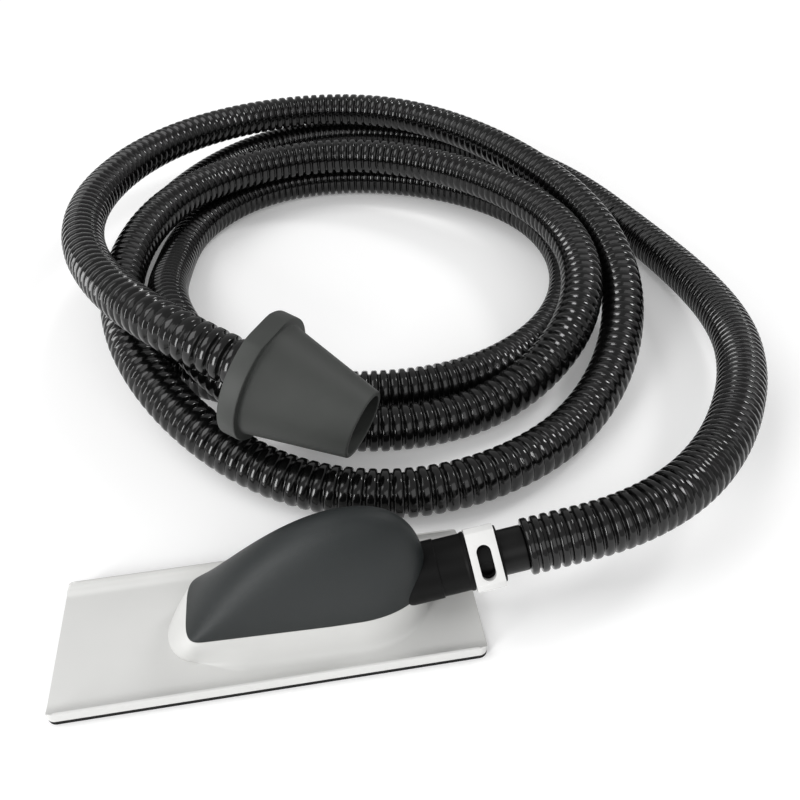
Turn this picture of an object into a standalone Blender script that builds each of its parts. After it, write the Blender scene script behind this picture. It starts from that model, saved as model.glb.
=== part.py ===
"""Hand sanding head for walls with a dust-extraction hose and a cone adapter.

The head lies on its sole, which is centred on the origin: +X runs along the
plate towards the hose, +Y points away from the viewer, +Z is up.  Units are metres.
"""

import math

import bmesh
import bpy
import numpy as np
from mathutils import Matrix, Vector

# Clearance between pieces that touch, and how far a cutter runs past a face.
FIT = 0.0003
OVERCUT = 0.002

# Plate, curled up into a rim along each long edge.
PLATE_LENGTH = 0.235
PLATE_WIDTH = 0.0825
PLATE_CORNER = 0.005
PLATE_THICKNESS = 0.0024
RIM_HEIGHT = 0.0047
RIM_CURL = 0.0072
RIM_THICKNESS = 0.0012

# Sole: a foam pad and the hook sheet that holds the abrasive.
PAD_THICKNESS = 0.0015
HOOK_THICKNESS = 0.0008
SUCTION_HOLE_RADIUS = 0.0045
SUCTION_ROW_Y = 0.014
SUCTION_PITCH = 0.040
SUCTION_COLUMNS = 5
AIR_GROOVE_WIDTH = 0.010
AIR_GROOVE_DEPTH = 0.0012

# Pedestal under the grip, and the grip itself.
PEDESTAL_HEIGHT = 0.0187
PEDESTAL_FLARE = 0.009
NOSE_X = -0.0433
NOSE_SLOPE = 0.0137
NOSE_ROUND = 0.0133
NOSE_FOOT_POWER = 2
NOSE_PARTING_POWER = 4
TAIL_X = 0.0895
TAIL_FLARE = 0.002
TAIL_ROUND_X = 0.050
GRIP_HALF_WIDTH = 0.0232
GRIP_NOSE_NARROWING = 0.0022
WIDEST_X = 0.035
GRIP_HEIGHT = 0.0633
GRIP_PEAK_X = 0.046
GRIP_WALL = 0.0027
GRIP_END_WALL = 0.0054
GRIP_RISE_POWER = 1.75
GRIP_FALL_POWER = 2.6

# Dust chamber inside the pedestal.
CHAMBER_WALL = 0.0027
CHAMBER_NOSE_WALL = 0.0054
CHAMBER_ROOF = 0.0025
CHAMBER_END_X = 0.066

# Screws that hold the grip from below.
SCREW_COLUMNS = (-0.022, 0.040)
SCREW_INSET = 0.0085
SCREW_RADIUS = 0.0015
SCREW_HEAD_RADIUS = 0.00275
SCREW_HEAD_HEIGHT = 0.0018
SCREW_GRIP_LENGTH = 0.010
BOSS_RADIUS = 0.0035
BOSS_HEIGHT = 0.030

# Neck: lengths are measured along its axis from the root in the parting plane.
NECK_ROOT_X = 0.060
NECK_TILT = math.radians(9.5)
NECK_RADIUS = 0.016
NECK_BORE = 0.012
SOCKET_LENGTH = 0.008
SOCKET_WALL = 0.002
SLEEVE_LIFT = 0.0007
SLEEVE_END = 0.0375
BEAD_END = 0.0552
BEAD_WIDTH = 0.0025
BEAD_LIFT = 0.0006
SEAT_DEPTH = 0.001
NECK_LIP_WIDTH = 0.0015
NECK_LIP_LIFT = 0.0009

# Bleed collar that turns on the neck.
COLLAR_WIDTH = 0.016
COLLAR_SQUARE = 0.0345
COLLAR_CHAMFER = 0.003
SLOT_WIDTH = 0.008
SLOT_LENGTH = 0.0193
COLLAR_ELEVATION = math.radians(53)
SLOT_ELEVATION = math.radians(62)
BLEED_RADIUS = 0.004
BLEED_OFFSET = math.radians(-34)

# Cuff between the neck and the hose.
CUFF_RADIUS = 0.0127
CUFF_BORE = 0.009
CUFF_INSERT = 0.024
CUFF_SHOW = 0.0137
SPIGOT_LENGTH = 0.020
SPIGOT_WALL = 0.0016

# Ribbed hose.
HOSE_RADIUS = 0.016
HOSE_ROOT_RADIUS = 0.0131
HOSE_BORE = 0.0106
HOSE_RIBS = 200
HOSE_STRAIGHT = 0.034
HOSE_SPAN_STEPS = 24

# Cone adapter: the middle of its flange's front face, and its tip.
CONE_FRONT = Vector((0.015, 0.117, 0.082))
CONE_TOWARDS = Vector((0.067, 0.082, 0.068))
CONE_LENGTH = 0.0642
FLANGE_RADIUS = 0.0415
FLANGE_THICKNESS = 0.012
FLANGE_EDGE = 0.0015
FLANGE_FLAT = 0.0392
CONE_BASE_RADIUS = 0.0365
CONE_TIP_RADIUS = 0.022
CONE_WALL = 0.003
HOSE_INSERT = 0.020
SLEEVE_FLANGE_RADIUS = 0.0155
SLEEVE_FLANGE_WIDTH = 0.003

# Route of the hose axis between its two straight ends, in millimetres.
HOSE_ROUTE_MM = (
    (238, 13, 51), (306, 75, 49), (348, 160, 38), (358, 254, 25), (346, 349, 17),
    (318, 442, 16), (267, 523, 16), (192, 583, 16), (104, 611, 16), (17, 591, 16),
    (-52, 527, 16), (-97, 438, 16), (-113, 345, 16), (-92, 262, 16), (-35, 204, 16),
    (53, 172, 16), (147, 170, 16), (226, 215, 16), (269, 298, 16), (261, 388, 16),
    (201, 461, 16), (113, 500, 16), (21, 494, 16), (-47, 434, 17), (-67, 341, 28),
    (-58, 244, 50), (-18, 170, 42), (22, 142, 28), (66, 130, 19), (110, 128, 17),
    (155, 136, 18), (231, 184, 38), (263, 269, 50), (247, 362, 49), (190, 439, 48),
    (106, 484, 48), (16, 479, 48), (-59, 424, 51), (-95, 337, 51), (-93, 240, 48),
    (-54, 154, 36), (15, 92, 20), (60, 74, 17), (104, 69, 16), (194, 96, 16),
    (260, 162, 23), (294, 249, 38), (293, 344, 47), (266, 436, 49), (218, 521, 49),
    (148, 583, 49), (60, 602, 49), (-27, 569, 54), (-93, 500, 61), (-127, 412, 68),
    (-125, 317, 78), (-90, 224, 90),
)

# Heights that several pieces share.
PAD_BOTTOM = HOOK_THICKNESS + FIT
PLATE_BOTTOM = PAD_BOTTOM + PAD_THICKNESS + FIT
PLATE_TOP = PLATE_BOTTOM + PLATE_THICKNESS
PARTING = PLATE_TOP + PEDESTAL_HEIGHT
ROOF_UNDERSIDE = PARTING - CHAMBER_ROOF
SEAT_RADIUS = NECK_RADIUS - SEAT_DEPTH
SLEEVE_RADIUS = NECK_RADIUS + SLEEVE_LIFT
COLLAR_START = BEAD_END + FIT
NECK_END = COLLAR_START + COLLAR_WIDTH + FIT + NECK_LIP_WIDTH
CUFF_STOP = NECK_END - CUFF_INSERT
CUFF_END = NECK_END + CUFF_SHOW
SPIGOT_RADIUS = HOSE_BORE * math.cos(math.pi / 6) - FIT
SCREW_Y = GRIP_HALF_WIDTH - SCREW_INSET

NECK_ROOT = Vector((NECK_ROOT_X, 0, PARTING))
NECK_AXIS = Vector((math.cos(NECK_TILT), 0, math.sin(NECK_TILT)))
CONE_AXIS = (CONE_TOWARDS - CONE_FRONT).normalized()


def clear_scene():
    for obj in list(bpy.data.objects):
        bpy.data.objects.remove(obj, do_unlink=True)


def material(name, colour, roughness, metallic=0.0):
    mat = bpy.data.materials.new(name)
    mat.use_nodes = True
    shader = mat.node_tree.nodes["Principled BSDF"]
    shader.inputs["Base Color"].default_value = (*colour, 1)
    shader.inputs["Roughness"].default_value = roughness
    shader.inputs["Metallic"].default_value = metallic
    return mat


def add_object(name, bm, mat=None, frame=None):
    """Turn a bmesh into an object, with its faces outwards and its round edges smooth."""
    bmesh.ops.recalc_face_normals(bm, faces=bm.faces)
    if bm.calc_volume(signed=True) < 0:
        bmesh.ops.reverse_faces(bm, faces=bm.faces)
    mesh = bpy.data.meshes.new(name)
    bm.to_mesh(mesh)
    bm.free()
    mesh.shade_smooth()
    mesh.set_sharp_from_angle(angle=math.radians(35))
    obj = bpy.data.objects.new(name, mesh)
    bpy.context.scene.collection.objects.link(obj)
    if mat:
        mesh.materials.append(mat)
    if frame:
        obj.parent = frame
    return obj


def add_frame(name, origin, axis=None):
    """An empty that carries turned pieces, with its local Z along an axis if one is given."""
    empty = bpy.data.objects.new(name, None)
    empty.location = origin
    if axis:
        empty.rotation_mode = "QUATERNION"
        empty.rotation_quaternion = axis.to_track_quat("Z", "Y")
    bpy.context.scene.collection.objects.link(empty)
    return empty


def boolean(target, tool, operation="DIFFERENCE"):
    """Cut the tool out of the target, or join it on, and hide the tool."""
    modifier = target.modifiers.new(operation.title(), "BOOLEAN")
    modifier.operation = operation
    modifier.object = tool
    tool.hide_render = True
    tool.display_type = "WIRE"


def loft(rings):
    """Skin closed rings of equal point counts in order, and cap both ends."""
    bm = bmesh.new()
    loops = [[bm.verts.new(point) for point in ring] for ring in rings]
    count = len(loops[0])
    for first, second in zip(loops, loops[1:]):
        for i in range(count):
            j = (i + 1) % count
            bm.faces.new((first[i], first[j], second[j], second[i]))
    bm.faces.new(loops[0][::-1])
    bm.faces.new(loops[-1])
    return bm


def turned(profile, steps=40):
    """Spin a closed outline of (radius, height) points once round the local Z axis."""
    bm = bmesh.new()
    points = [bm.verts.new((radius, 0, height)) for radius, height in profile]
    edges = [bm.edges.new((a, b)) for a, b in zip(points, points[1:] + points[:1])]
    bmesh.ops.spin(bm, geom=points + edges, cent=(0, 0, 0), axis=(0, 0, 1),
                   angle=math.tau, steps=steps, use_merge=True)
    bmesh.ops.remove_doubles(bm, verts=bm.verts, dist=1e-6)
    return bm


def cylinder(radius, low, high, steps=40, at=(0, 0)):
    bm = bmesh.new()
    place = Matrix.Translation((at[0], at[1], (low + high) / 2))
    bmesh.ops.create_cone(bm, cap_ends=True, segments=steps, radius1=radius, radius2=radius,
                          depth=high - low, matrix=place)
    return bm


def prism(outline, low, high):
    """Extrude a flat outline of (x, y) points between two heights."""
    return loft([[(x, y, z) for x, y in outline] for z in (low, high)])


def rounded_rectangle(length, width, corner, arc_steps=5):
    """Outline of a rectangle on the origin whose corners are quarter arcs."""
    outline = []
    for quarter in range(4):
        middle = (quarter + 0.5) * math.pi / 2
        x = math.copysign(length / 2 - corner, math.cos(middle))
        y = math.copysign(width / 2 - corner, math.sin(middle))
        for step in range(arc_steps + 1):
            angle = (quarter + step / arc_steps) * math.pi / 2
            outline.append((x + corner * math.cos(angle), y + corner * math.sin(angle)))
    return outline


def suction_hole_places():
    middle = (SUCTION_COLUMNS - 1) / 2
    for column in range(SUCTION_COLUMNS):
        for side in (-1, 1):
            yield (column - middle) * SUCTION_PITCH, side * SUCTION_ROW_Y


def foot_flare(level):
    """How far the pedestal's hollow side has swept out, from 1 at the foot to 0 on top."""
    return 1 - math.sqrt(1 - (1 - level) ** 2)


def foot_levels(top, steps):
    """Levels from the foot up to a top level, closer together where the side sweeps out."""
    last = math.asin(1 - top)
    for step in range(steps + 1):
        yield 1 - math.sin(math.pi / 2 + (last - math.pi / 2) * step / steps)


def half_width(x, level):
    """Half the width of the grip's plan, from the foot (level 0) to the parting plane (1)."""
    flare = foot_flare(level)
    nose = NOSE_X - NOSE_SLOPE * (1 - level)
    tail = TAIL_X + TAIL_FLARE * flare
    ramp_start = NOSE_X + NOSE_ROUND / 2
    ramp = min(max((x - ramp_start) / (WIDEST_X - ramp_start), 0), 1)
    width = GRIP_HALF_WIDTH + PEDESTAL_FLARE * flare - GRIP_NOSE_NARROWING * (1 - ramp)
    blunt = NOSE_FOOT_POWER + (NOSE_PARTING_POWER - NOSE_FOOT_POWER) * level
    into_nose = min(max((nose + NOSE_ROUND - x) / NOSE_ROUND, 0), 1)
    into_tail = min(max((x - TAIL_ROUND_X) / (tail - TAIL_ROUND_X), 0), 1)
    return width * (1 - into_nose ** blunt) ** (1 / blunt) * math.sqrt(1 - into_tail ** 2)


def plan_ring(level, height, start, end, inset=0.0, stations=22):
    """Closed outline of the plan at one level, drawn in from its edge by an inset."""
    near = []
    for i in range(stations + 1):
        x = start + (end - start) * (1 - math.cos(math.pi * i / stations)) / 2
        near.append((x, half_width(x, level) - inset))
    ring = [(x, -y, height) for x, y in near]
    far = [(x, y, height) for x, y in reversed(near)]
    if near[-1][1] < FIT:
        far = far[1:]
    if near[0][1] < FIT:
        far = far[:-1]
    return ring + far


def grip_height(x):
    """Height of the grip's ridge over the parting plane: a long rise and a blunt fall."""
    if x < GRIP_PEAK_X:
        along = (GRIP_PEAK_X - x) / (GRIP_PEAK_X - NOSE_X)
        return GRIP_HEIGHT * (1 - along ** GRIP_RISE_POWER)
    along = (x - GRIP_PEAK_X) / (TAIL_X - GRIP_PEAK_X)
    return GRIP_HEIGHT * (1 - along ** GRIP_FALL_POWER) ** (1 / GRIP_FALL_POWER)


def grip_loft(base, inset, start, end, stations=26, arc_steps=14):
    """Half-elliptic sections set along the grip, standing on a flat base."""
    rings = []
    for i in range(stations + 1):
        x = start + (end - start) * (1 - math.cos(math.pi * i / stations)) / 2
        width = half_width(x, 1) - inset
        height = grip_height(x) - inset
        ring = []
        for step in range(arc_steps + 1):
            angle = math.pi * step / arc_steps
            ring.append((x, -width * math.cos(angle), base + height * math.sin(angle)))
        rings.append(ring)
    return loft(rings)


def make_hook_sheet():
    outline = rounded_rectangle(PLATE_LENGTH, PLATE_WIDTH, PLATE_CORNER)
    sheet = add_object("hook_sheet", prism(outline, 0, HOOK_THICKNESS),
                       material("hook_black", (0.02, 0.02, 0.02), 0.95))
    cut_suction_holes(sheet, HOOK_THICKNESS)


def make_sole_pad():
    outline = rounded_rectangle(PLATE_LENGTH, PLATE_WIDTH, PLATE_CORNER)
    pad = add_object("sole_pad", prism(outline, PAD_BOTTOM, PAD_BOTTOM + PAD_THICKNESS),
                     material("pad_black", (0.025, 0.025, 0.025), 0.9))
    cut_suction_holes(pad, PAD_BOTTOM + PAD_THICKNESS)


def cut_suction_holes(layer, top):
    for number, place in enumerate(suction_hole_places(), 1):
        tool = cylinder(SUCTION_HOLE_RADIUS, -OVERCUT, top + OVERCUT, steps=16, at=place)
        boolean(layer, add_object(f"{layer.name}_hole_{number}", tool))


def plate_section(curl_steps=5):
    """Cross-section of the plate, (y, z): flat in the middle, hollow curl up to each rim."""
    half = PLATE_WIDTH / 2
    rim_inside = half - RIM_THICKNESS
    rise = []
    for step in range(curl_steps + 1):
        angle = math.pi / 2 * step / curl_steps
        rise.append((rim_inside - RIM_CURL * (1 - math.sin(angle)),
                     PLATE_TOP + RIM_HEIGHT * (1 - math.cos(angle))))
    rise.append((half, PLATE_TOP + RIM_HEIGHT))
    mirrored = [(-y, z) for y, z in rise]
    return [(-half, PLATE_BOTTOM), (half, PLATE_BOTTOM)] + rise[::-1] + mirrored


def make_base_plate(neck_frame):
    """Plate, pedestal and neck socket in one moulding, hollowed by the dust chamber."""
    half = PLATE_LENGTH / 2 + OVERCUT
    bm = loft([[(x, y, z) for y, z in plate_section()] for x in (-half, half)])
    plate = add_object("base_plate", bm, material("plate_grey", (0.70, 0.70, 0.68), 0.35))
    outline = rounded_rectangle(PLATE_LENGTH, PLATE_WIDTH, PLATE_CORNER)
    block = prism(outline, PLATE_BOTTOM - OVERCUT, PLATE_TOP + RIM_HEIGHT + OVERCUT)
    boolean(plate, add_object("plate_outline", block), "INTERSECT")

    boolean(plate, add_object("pedestal_body", pedestal_loft()), "UNION")
    sleeve = cylinder(NECK_RADIUS + FIT + SOCKET_WALL, -SOCKET_WALL, SOCKET_LENGTH)
    boolean(plate, add_object("socket_sleeve", sleeve, frame=neck_frame), "UNION")
    boolean(plate, socket_bore("socket_bore", neck_frame))
    boolean(plate, add_object("dust_chamber", chamber_loft()))
    for side in (-1, 1):
        groove = rounded_rectangle(SUCTION_PITCH * SUCTION_COLUMNS, AIR_GROOVE_WIDTH,
                                   AIR_GROOVE_WIDTH / 2 - FIT)
        shifted = [(x, y + side * SUCTION_ROW_Y) for x, y in groove]
        tool = prism(shifted, PLATE_BOTTOM - OVERCUT, PLATE_BOTTOM + AIR_GROOVE_DEPTH)
        boolean(plate, add_object(f"air_groove_{side}", tool))
    for number, (x, y) in enumerate(screw_places(), 1):
        tool = cylinder(SCREW_RADIUS + FIT, ROOF_UNDERSIDE - OVERCUT, PARTING + OVERCUT,
                        steps=12, at=(x, y))
        boolean(plate, add_object(f"roof_hole_{number}", tool))


def pedestal_loft():
    """Hollow-sided pedestal from inside the plate up to the parting plane."""
    rings = []
    for level in foot_levels(1, 6):
        start = NOSE_X - NOSE_SLOPE * (1 - level)
        end = TAIL_X + TAIL_FLARE * foot_flare(level)
        if level == 0:
            rings.append(plan_ring(level, PLATE_TOP - PLATE_THICKNESS / 2, start, end))
        rings.append(plan_ring(level, PLATE_TOP + PEDESTAL_HEIGHT * level, start, end))
    return loft(rings)


def chamber_loft():
    """Space inside the pedestal, open below, that stops short of the neck's saddle."""
    rings = []
    for level in foot_levels(1 - CHAMBER_ROOF / PEDESTAL_HEIGHT, 5):
        start = NOSE_X - NOSE_SLOPE * (1 - level) + CHAMBER_NOSE_WALL
        if level == 0:
            low = PLATE_BOTTOM - OVERCUT
            rings.append(plan_ring(level, low, start, CHAMBER_END_X, CHAMBER_WALL, 12))
        height = PLATE_TOP + PEDESTAL_HEIGHT * level
        rings.append(plan_ring(level, height, start, CHAMBER_END_X, CHAMBER_WALL, 12))
    return loft(rings)


def socket_bore(name, neck_frame):
    """Clearance round the neck: its plain root, then the thicker sleeve outside the socket."""
    root = NECK_RADIUS + FIT
    sleeve = SLEEVE_RADIUS + FIT
    profile = [(0, 0), (root, 0), (root, SOCKET_LENGTH), (sleeve, SOCKET_LENGTH),
               (sleeve, SLEEVE_END), (0, SLEEVE_END)]
    return add_object(name, turned(profile), frame=neck_frame)


def screw_places():
    for x in SCREW_COLUMNS:
        for side in (-1, 1):
            yield x, side * SCREW_Y


def make_grip_shell(neck_frame):
    """Soft-touch shell: a dome with an even wall, open below, with four screw bosses."""
    base = PARTING + FIT
    start = NOSE_X + FIT
    dome = grip_loft(base, 0.0, start, TAIL_X - FIT)
    shell = add_object("grip_shell", dome, material("grip_charcoal", (0.045, 0.055, 0.055), 0.6))
    inside = grip_loft(base - OVERCUT, GRIP_WALL, NOSE_X + GRIP_END_WALL, TAIL_X - GRIP_END_WALL, 18, 12)
    cavity = add_object("grip_cavity", inside)
    for number, (x, y) in enumerate(screw_places(), 1):
        boss = cylinder(BOSS_RADIUS, base, base + BOSS_HEIGHT, steps=16, at=(x, y))
        boolean(cavity, add_object(f"grip_boss_{number}", boss))
    boolean(shell, cavity)
    for number, (x, y) in enumerate(screw_places(), 1):
        tool = cylinder(SCREW_RADIUS + FIT, PARTING - OVERCUT,
                        PARTING + SCREW_GRIP_LENGTH + OVERCUT, steps=12, at=(x, y))
        boolean(shell, add_object(f"boss_hole_{number}", tool))
    relief = cylinder(NECK_RADIUS + 2 * FIT + SOCKET_WALL, -SOCKET_WALL - FIT, SOCKET_LENGTH + FIT)
    boolean(shell, add_object("socket_relief", relief, frame=neck_frame))
    boolean(shell, socket_bore("neck_relief", neck_frame))


def make_grip_screws():
    """Pan-head screws that reach up through the chamber roof into the bosses."""
    steel = material("screw_steel", (0.55, 0.55, 0.55), 0.3, 1.0)
    head_top = ROOF_UNDERSIDE - FIT
    head_low = head_top - SCREW_HEAD_HEIGHT
    tip = PARTING + SCREW_GRIP_LENGTH
    profile = [(0, head_low), (SCREW_HEAD_RADIUS, head_low), (SCREW_HEAD_RADIUS, head_top),
               (SCREW_RADIUS, head_top), (SCREW_RADIUS, tip), (0, tip)]
    for number, (x, y) in enumerate(screw_places(), 1):
        screw = add_object(f"grip_screw_{number}", turned(profile, 12), steel)
        screw.location = (x, y, 0)


def make_neck_tube(neck_frame):
    """Neck with a sleeve at the grip, a bead, a turned seat for the collar and an end lip."""
    bead_start = BEAD_END - BEAD_WIDTH
    bead = NECK_RADIUS + BEAD_LIFT
    lip_start = NECK_END - NECK_LIP_WIDTH
    lip = SEAT_RADIUS + NECK_LIP_LIFT
    cuff_bore = CUFF_RADIUS + FIT
    sleeve_start = SOCKET_LENGTH + FIT
    profile = [
        (NECK_BORE, FIT), (NECK_RADIUS, FIT), (NECK_RADIUS, sleeve_start),
        (SLEEVE_RADIUS, sleeve_start), (SLEEVE_RADIUS, SLEEVE_END), (NECK_RADIUS, SLEEVE_END),
        (NECK_RADIUS, bead_start), (bead, bead_start + BEAD_WIDTH / 3),
        (bead, BEAD_END), (SEAT_RADIUS, BEAD_END), (SEAT_RADIUS, lip_start), (lip, lip_start),
        (lip, NECK_END), (cuff_bore, NECK_END), (cuff_bore, CUFF_STOP), (NECK_BORE, CUFF_STOP),
    ]
    neck = add_object("neck_tube", turned(profile), material("neck_black", (0.02, 0.02, 0.02), 0.45),
                      neck_frame)
    hole = cylinder(BLEED_RADIUS, NECK_BORE / 2, NECK_RADIUS + OVERCUT, steps=16)
    place_radially(hole, SLOT_ELEVATION + BLEED_OFFSET)
    boolean(neck, add_object("bleed_hole", hole, frame=neck_frame))


def place_radially(bm, elevation):
    """Point a shape's local Z out of the neck at an angle up from the viewer's side."""
    middle = COLLAR_START + COLLAR_WIDTH / 2
    outwards = side_of_neck(elevation)
    across = Vector((0, 0, 1)).cross(outwards)
    turn = Matrix((across, Vector((0, 0, 1)), outwards)).transposed()
    bm.transform(Matrix.Translation((0, 0, middle)) @ turn.to_4x4())


def side_of_neck(elevation):
    """Direction across the neck, in the neck frame, that rises by an angle from -Y."""
    world = NECK_AXIS.to_track_quat("Z", "Y").to_matrix().transposed()
    level = world @ Vector((0, -1, 0))
    upwards = Vector((0, 0, 1)).cross(level)
    rising = upwards if (world.transposed() @ upwards).z > 0 else -upwards
    return (level * math.cos(elevation) + rising * math.sin(elevation)).normalized()


def turn_to(elevation):
    """Turn about the neck's axis that brings local X to an angle up from -Y."""
    outwards = side_of_neck(elevation)
    return Matrix.Rotation(math.atan2(outwards.y, outwards.x), 4, "Z")


def make_bleed_collar(neck_frame):
    """Square collar with broken corners and one long slot, free to turn on its seat."""
    axis_frame = add_frame("collar_axis", (0, 0, COLLAR_START + COLLAR_WIDTH / 2))
    axis_frame.parent = neck_frame
    half = COLLAR_SQUARE / 2
    cut = half - COLLAR_CHAMFER
    corners = [(half, -cut), (half, cut), (cut, half), (-cut, half),
               (-half, cut), (-half, -cut), (-cut, -half), (cut, -half)]
    body = prism(corners, -COLLAR_WIDTH / 2, COLLAR_WIDTH / 2)
    body.transform(turn_to(COLLAR_ELEVATION))
    collar = add_object("bleed_collar", body, material("collar_white", (0.72, 0.72, 0.71), 0.4),
                        axis_frame)
    bore = cylinder(SEAT_RADIUS + FIT, -COLLAR_WIDTH, COLLAR_WIDTH)
    boolean(collar, add_object("collar_bore", bore, frame=axis_frame))
    slot = prism(rounded_rectangle(SLOT_LENGTH, SLOT_WIDTH, SLOT_WIDTH / 2 - FIT), 0, COLLAR_SQUARE)
    radial = Matrix(((0, 0, 1, 0), (1, 0, 0, 0), (0, 1, 0, 0), (0, 0, 0, 1)))
    slot.transform(turn_to(SLOT_ELEVATION) @ radial)
    boolean(collar, add_object("collar_slot", slot, frame=axis_frame))


def make_hose_cuff(neck_frame):
    """Plain cuff pushed into the neck, with a spigot that the hose is glued on."""
    start = CUFF_STOP + FIT
    spigot_bore = SPIGOT_RADIUS - SPIGOT_WALL
    tip = CUFF_END + SPIGOT_LENGTH
    profile = [(CUFF_BORE, start), (CUFF_RADIUS, start), (CUFF_RADIUS, CUFF_END),
               (SPIGOT_RADIUS, CUFF_END), (SPIGOT_RADIUS, tip), (spigot_bore, tip),
               (spigot_bore, CUFF_END), (CUFF_BORE, CUFF_END - CUFF_BORE + spigot_bore)]
    add_object("hose_cuff", turned(profile, 32), material("cuff_black", (0.02, 0.02, 0.02), 0.4),
               neck_frame)


def hose_axis():
    """Line of the hose: the smooth route, with a straight run out of the cuff and into the cone."""
    start = NECK_ROOT + NECK_AXIS * (CUFF_END + FIT)
    back = CONE_FRONT - CONE_AXIS * FLANGE_THICKNESS
    route = [Vector(point) / 1000 for point in HOSE_ROUTE_MM]
    route.insert(0, start + NECK_AXIS * HOSE_STRAIGHT)
    route.append(back - CONE_AXIS * HOSE_STRAIGHT)
    curve = smooth_curve(np.array(route), NECK_AXIS, CONE_AXIS)
    curve[:, 2] = np.maximum(curve[:, 2], HOSE_RADIUS + FIT)
    return np.vstack((start, curve, back + CONE_AXIS * HOSE_INSERT))


def smooth_curve(knots, first_slope, last_slope):
    """Points on the cubic spline through the knots whose slope and bend never jump."""
    spans = np.linalg.norm(np.diff(knots, axis=0), axis=1)
    chords = np.diff(knots, axis=0) / spans[:, None]
    system = np.eye(len(knots))
    wanted = np.zeros_like(knots)
    wanted[0] = first_slope
    wanted[-1] = last_slope
    for i in range(1, len(knots) - 1):
        system[i, i - 1:i + 2] = spans[i], 2 * (spans[i - 1] + spans[i]), spans[i - 1]
        wanted[i] = 3 * (spans[i] * chords[i - 1] + spans[i - 1] * chords[i])
    slopes = np.linalg.solve(system, wanted)
    t = np.linspace(0, 1, HOSE_SPAN_STEPS, endpoint=False)[None, :, None]
    span = spans[:, None, None]
    points = (knots[:-1, None] * (2 * t ** 3 - 3 * t ** 2 + 1)
              + span * slopes[:-1, None] * (t ** 3 - 2 * t ** 2 + t)
              + knots[1:, None] * (3 * t ** 2 - 2 * t ** 3)
              + span * slopes[1:, None] * (t ** 3 - t ** 2))
    return np.vstack((points.reshape(-1, 3), knots[-1:]))


def evenly_spaced(points, count):
    """Read a number of points at equal steps along a polyline."""
    along = np.append(0, np.cumsum(np.linalg.norm(np.diff(points, axis=0), axis=1)))
    marks = np.linspace(0, along[-1], count)
    return np.stack([np.interp(marks, along, points[:, k]) for k in range(3)], axis=1)


def tube(name, points, radii, resolution):
    """Mesh of a bevelled curve with filled ends, whose thickness varies along it."""
    curve = bpy.data.curves.new(name, "CURVE")
    curve.dimensions = "3D"
    curve.bevel_depth = 1.0
    curve.bevel_resolution = resolution
    curve.use_fill_caps = True
    spline = curve.splines.new("POLY")
    spline.points.add(len(points) - 1)
    spline.points.foreach_set("co", np.c_[points, np.ones(len(points))].ravel())
    spline.points.foreach_set("radius", radii)
    guide = bpy.data.objects.new(name, curve)
    bm = bmesh.new()
    mesh = guide.to_mesh()
    bm.from_mesh(mesh)
    guide.to_mesh_clear()
    bpy.data.objects.remove(guide)
    bmesh.ops.remove_doubles(bm, verts=bm.verts, dist=1e-6)
    return bm


def make_hose():
    """One unbroken ribbed tube along the route, with its bore cut out."""
    curve = hose_axis()
    points = evenly_spaced(curve, 2 * HOSE_RIBS)
    radii = np.where(np.arange(len(points)) % 2 == 0, HOSE_RADIUS, HOSE_ROOT_RADIUS)
    radii[-1] = HOSE_RADIUS
    hose = add_object("hose", tube("hose_outside", points, radii, 2),
                      material("hose_black", (0.015, 0.015, 0.015), 0.3))
    middle = evenly_spaced(curve, HOSE_RIBS)
    ends = (curve[:1] - np.array(NECK_AXIS) * OVERCUT, curve[-1:] + np.array(CONE_AXIS) * OVERCUT)
    inside = np.vstack((ends[0], middle[1:-1], ends[1]))
    bore = tube("hose_inside", inside, np.full(len(inside), HOSE_BORE), 1)
    boolean(hose, add_object("hose_bore", bore))
    report_hose(points)


def report_hose(points):
    """Print the hose's length and the least gap that it leaves to itself."""
    along = np.append(0, np.cumsum(np.linalg.norm(np.diff(points, axis=0), axis=1)))
    apart = np.linalg.norm(points[:, None] - points[None], axis=2)
    own_bend = np.abs(along[:, None] - along[None]) < 4 * HOSE_RADIUS
    gap = np.where(own_bend, np.inf, apart).min() - 2 * HOSE_RADIUS
    print(f"hose: {along[-1]:.3f} m long, least gap to itself {gap * 1000:.2f} mm")


def make_hose_end_sleeve(cone_frame):
    """Stiffening sleeve in the hose's end, with a flange that covers the hose's rim."""
    end = HOSE_INSERT - FLANGE_THICKNESS + FIT
    bore = SPIGOT_RADIUS - SPIGOT_WALL
    profile = [(bore, end - SPIGOT_LENGTH), (SPIGOT_RADIUS, end - SPIGOT_LENGTH),
               (SPIGOT_RADIUS, end), (SLEEVE_FLANGE_RADIUS, end),
               (SLEEVE_FLANGE_RADIUS, end + SLEEVE_FLANGE_WIDTH), (bore, end + SLEEVE_FLANGE_WIDTH)]
    add_object("hose_end_sleeve", turned(profile, 32), material("sleeve_black", (0.02, 0.02, 0.02), 0.4),
               cone_frame)


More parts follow.
